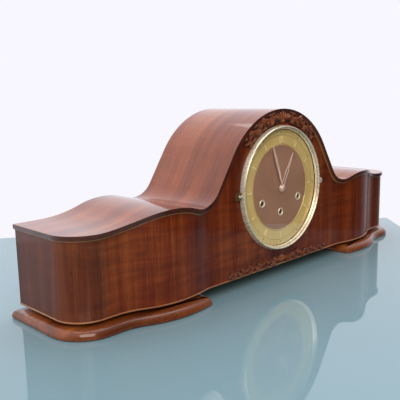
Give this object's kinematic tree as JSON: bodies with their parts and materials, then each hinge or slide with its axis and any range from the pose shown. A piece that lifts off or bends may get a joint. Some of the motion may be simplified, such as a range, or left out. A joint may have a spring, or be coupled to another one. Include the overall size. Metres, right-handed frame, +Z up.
{
  "type": "mantel clock",
  "caption": "Humped wooden mantel clock with a serpentine front, hinged glazed brass bezel, hands, spring-driven chiming movement and a hinged rear door.",
  "frame": {"origin": "centre of the footprint, on the surface that the feet stand on", "axes": "+X along the case towards the end at the viewer's right, +Y from the dial to the back, +Z up"},
  "size_m": [0.681, 0.153, 0.231],
  "materials": {
    "walnut_front": "high gloss lacquer",
    "walnut_ends": "high gloss lacquer",
    "walnut_cover": "high gloss lacquer",
    "walnut_feet": "high gloss lacquer",
    "boxwood_bead": "gloss",
    "carved_wood": "gloss",
    "pale_plywood": "satin",
    "turned_knob": "polished",
    "polished_brass": "polished",
    "chapter_gold": "satin",
    "rose_disc": "satin",
    "dial_sheet": "satin",
    "clear_glass": "clear",
    "pale_gold_hands": "polished",
    "movement_brass": "satin",
    "bright_steel": "satin",
    "black_iron": "painted",
    "rod_bronze": "drawn"
  },
  "bodies": {
    "case": {"front_panel": "walnut_front", "left_end_panel": "walnut_ends", "right_end_panel": "walnut_ends", "cover_shell": "walnut_cover", "cover_bead": "boxwood_bead", "base_bead": "boxwood_bead", "base_board": "pale_plywood", "back_frame": "pale_plywood", "left_foot": "walnut_feet", "right_foot": "walnut_feet", "top_carving": "carved_wood", "apron_carving": "carved_wood", "dial_plate": "dial_sheet", "chapter_ring": "chapter_gold", "centre_disc": "rose_disc", "winding_eyelets": "polished_brass", "bezel_hinge_leaf": "polished_brass", "bezel_hinge_pin": "polished_brass", "movement_front_plate": "movement_brass", "movement_back_plate": "movement_brass", "plate_pillars": "bright_steel", "plate_screws": "bright_steel", "pendulum_cock": "bright_steel", "hammer_bracket": "bright_steel", "hammer_shaft": "bright_steel", "rod_block": "black_iron", "chime_rods": "rod_bronze", "frame_hinge_leaves": "bright_steel", "door_hinge_pins": "bright_steel"},
    "bezel": {"bezel": "polished_brass", "bezel_lug": "polished_brass", "bezel_glass": "clear_glass"},
    "rear_door": {"rear_door": "pale_plywood", "door_knob": "turned_knob", "door_hinge_leaves": "bright_steel"},
    "minute_arbor": {"centre_wheel": "movement_brass", "cannon_pinion": "movement_brass", "minute_hand": "pale_gold_hands", "hand_nut": "polished_brass"},
    "hour_wheel": {"hour_wheel": "movement_brass", "hour_hand": "pale_gold_hands"},
    "minute_wheel": {"minute_wheel": "movement_brass"},
    "intermediate_wheel": {"intermediate_wheel": "movement_brass"},
    "going_barrel": {"going_barrel": "movement_brass"},
    "third_wheel": {"third_wheel": "movement_brass"},
    "escape_wheel": {"escape_wheel": "movement_brass"},
    "anchor": {"anchor": "bright_steel"},
    "pendulum": {"pendulum_rod": "bright_steel", "pendulum_bob": "movement_brass"},
    "going_winding_arbor": {"going_winding_arbor": "bright_steel"},
    "chime_winding_arbor": {"chime_winding_arbor": "bright_steel"},
    "strike_winding_arbor": {"strike_winding_arbor": "bright_steel"},
    "chime_barrel": {"chime_barrel": "movement_brass"},
    "strike_barrel": {"strike_barrel": "movement_brass"},
    "chime_second_wheel": {"chime_second_wheel": "movement_brass"},
    "chime_drum": {"chime_drum": "movement_brass"},
    "hammer_1": {"hammer_1": "movement_brass"},
    "hammer_2": {"hammer_2": "movement_brass"},
    "hammer_3": {"hammer_3": "movement_brass"},
    "hammer_4": {"hammer_4": "movement_brass"}
  },
  "joints": [
    {"name": "bezel_open", "type": "hinge", "parent": "case", "child": "bezel", "pos_m": [-0.0892, -0.058, 0.1235], "axis": [0, 0, -1], "range_deg": [0, 105]},
    {"name": "door_open", "type": "hinge", "parent": "case", "child": "rear_door", "pos_m": [-0.0824, 0.0746, 0.085], "axis": [0, 0, 1], "range_deg": [0, 110]},
    {"name": "minute_turn", "type": "hinge", "parent": "case", "child": "minute_arbor", "pos_m": [0, 0, 0.1235], "axis": [0, 1, 0], "continuous": true},
    {"name": "hour_turn", "type": "hinge", "parent": "case", "child": "hour_wheel", "pos_m": [0, 0, 0.1235], "axis": [0, 1, 0], "continuous": true},
    {"name": "minute_wheel_turn", "type": "hinge", "parent": "case", "child": "minute_wheel", "pos_m": [0.01039, 0, 0.1295], "axis": [0, 1, 0], "continuous": true},
    {"name": "intermediate_turn", "type": "hinge", "parent": "case", "child": "intermediate_wheel", "pos_m": [0.01106, 0, 0.10994], "axis": [0, 1, 0], "continuous": true},
    {"name": "going_barrel_turn", "type": "hinge", "parent": "case", "child": "going_barrel", "pos_m": [0, 0, 0.09], "axis": [0, 1, 0], "continuous": true},
    {"name": "third_turn", "type": "hinge", "parent": "case", "child": "third_wheel", "pos_m": [-0.01071, 0, 0.13539], "axis": [0, 1, 0], "continuous": true},
    {"name": "escape_turn", "type": "hinge", "parent": "case", "child": "escape_wheel", "pos_m": [0, 0, 0.14632], "axis": [0, 1, 0], "continuous": true},
    {"name": "pendulum_swing", "type": "hinge", "parent": "case", "child": "pendulum", "pos_m": [0, 0, 0.16332], "axis": [0, 1, 0], "range_deg": [-4, 4]},
    {"name": "anchor_swing", "type": "hinge", "parent": "case", "child": "anchor", "pos_m": [0, 0, 0.16332], "axis": [0, 1, 0], "range_deg": [-4, 4]},
    {"name": "going_winding", "type": "hinge", "parent": "case", "child": "going_winding_arbor", "pos_m": [0, 0, 0.09], "axis": [0, 1, 0], "range_deg": [0, 1800]},
    {"name": "chime_winding", "type": "hinge", "parent": "case", "child": "chime_winding_arbor", "pos_m": [0.04, 0, 0.1065], "axis": [0, 1, 0], "range_deg": [0, 1800]},
    {"name": "strike_winding", "type": "hinge", "parent": "case", "child": "strike_winding_arbor", "pos_m": [-0.04, 0, 0.1065], "axis": [0, 1, 0], "range_deg": [0, 1800]},
    {"name": "chime_barrel_turn", "type": "hinge", "parent": "case", "child": "chime_barrel", "pos_m": [0.04, 0, 0.1065], "axis": [0, 1, 0], "continuous": true},
    {"name": "chime_second_turn", "type": "hinge", "parent": "case", "child": "chime_second_wheel", "pos_m": [0.04396, 0, 0.12895], "axis": [0, 1, 0], "continuous": true},
    {"name": "chime_drum_turn", "type": "hinge", "parent": "case", "child": "chime_drum", "pos_m": [0.03371, 0, 0.10033], "axis": [0, 1, 0], "continuous": true},
    {"name": "strike_barrel_turn", "type": "hinge", "parent": "case", "child": "strike_barrel", "pos_m": [-0.04, 0, 0.1065], "axis": [0, 1, 0], "continuous": true},
    {"name": "hammer_1_strike", "type": "hinge", "parent": "case", "child": "hammer_1", "pos_m": [0.054, 0, 0.0895], "axis": [0, 1, 0], "range_deg": [-18, 2], "stiffness_Nm_per_rad": 0.05},
    {"name": "hammer_2_strike", "type": "hinge", "parent": "case", "child": "hammer_2", "pos_m": [0.054, 0, 0.0895], "axis": [0, 1, 0], "range_deg": [-18, 2], "stiffness_Nm_per_rad": 0.05},
    {"name": "hammer_3_strike", "type": "hinge", "parent": "case", "child": "hammer_3", "pos_m": [0.054, 0, 0.0895], "axis": [0, 1, 0], "range_deg": [-18, 2], "stiffness_Nm_per_rad": 0.05},
    {"name": "hammer_4_strike", "type": "hinge", "parent": "case", "child": "hammer_4", "pos_m": [0.054, 0, 0.0895], "axis": [0, 1, 0], "range_deg": [-18, 2], "stiffness_Nm_per_rad": 0.05}
  ],
  "couplings": [
    {"joint": "hour_turn", "follows": "minute_turn", "ratio": 0.083333},
    {"joint": "minute_wheel_turn", "follows": "minute_turn", "ratio": -0.33333},
    {"joint": "intermediate_turn", "follows": "minute_turn", "ratio": -0.16667},
    {"joint": "going_barrel_turn", "follows": "minute_turn", "ratio": 0.018519},
    {"joint": "third_turn", "follows": "minute_turn", "ratio": -7},
    {"joint": "escape_turn", "follows": "minute_turn", "ratio": 52.5},
    {"joint": "anchor_swing", "follows": "pendulum_swing", "ratio": 1},
    {"joint": "chime_second_turn", "follows": "chime_barrel_turn", "ratio": -9},
    {"joint": "chime_drum_turn", "follows": "chime_barrel_turn", "ratio": 9}
  ]
}
